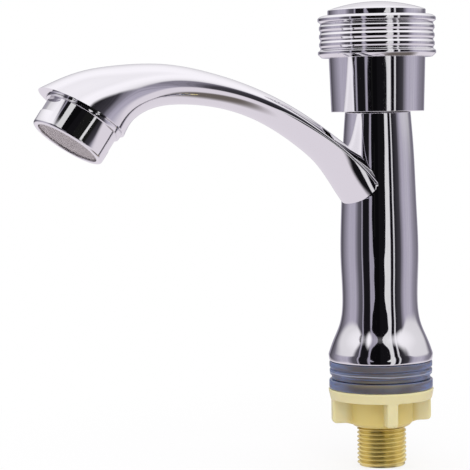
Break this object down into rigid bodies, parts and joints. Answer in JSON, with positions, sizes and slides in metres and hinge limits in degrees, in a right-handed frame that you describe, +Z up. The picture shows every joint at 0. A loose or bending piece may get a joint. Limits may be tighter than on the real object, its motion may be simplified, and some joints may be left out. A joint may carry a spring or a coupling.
{
  "type": "pillar basin tap",
  "caption": "Chrome pillar basin tap: arched spout with aerator, ribbed turning handle, and a threaded tail with washers and backnut that clamp it through a basin's deck.",
  "frame": {"origin": "centre of the underside of the cast base, where the tap's axis meets the top of the base gasket", "axes": "+Z up along the pillar's axis, the spout points along -Y, +X to the right of someone who faces +Y"},
  "size_m": [0.0498, 0.1787, 0.1972],
  "materials": {
    "chrome": "polished",
    "brass": "machined",
    "washer_rubber": "translucent blue-grey, smooth",
    "seal_rubber": "black, smooth",
    "ivory_plastic": "moulded, satin",
    "white_plastic": "moulded",
    "steel": "stainless",
    "ceramic": "lapped ceramic"
  },
  "bodies": {
    "tap": {"tap_body": "chrome", "inlet_tail": "brass", "tail_seal": "seal_rubber", "base_gasket": "washer_rubber", "aerator_housing": "chrome", "aerator_washer": "seal_rubber", "aerator_insert": "white_plastic", "aerator_screens": "steel", "outlet_mesh": "steel", "cartridge_housing": "brass", "housing_gasket": "seal_rubber", "seat_seal": "seal_rubber", "fixed_disc": "ceramic"},
    "handle": {"handle_knob": "chrome", "handle_cap": "chrome", "handle_screw": "steel", "screw_washer": "steel", "spindle": "brass", "spindle_o_rings": "seal_rubber", "spindle_clip": "steel", "thrust_washer": "white_plastic", "rotating_disc": "ceramic"},
    "washer": {"deck_washer": "washer_rubber"},
    "nut": {"backnut": "ivory_plastic"}
  },
  "joints": [
    {"name": "handle_turn", "type": "hinge", "parent": "tap", "child": "handle", "pos_m": [0, 0, 0.128], "axis": [0, 0, 1], "range_deg": [0, 90]},
    {"name": "washer_slide", "type": "slide", "parent": "tap", "child": "washer", "axis": [0, 0, -1], "range_m": [0, 0.01452]},
    {"name": "nut_turn", "type": "hinge", "parent": "washer", "child": "nut", "pos_m": [0, 0, -0.02], "axis": [0, 0, -1], "range_deg": [0, 2880]}
  ],
  "couplings": [
    {"joint": "washer_slide", "follows": "nut_turn", "m_per_rad": 0.00028871}
  ]
}
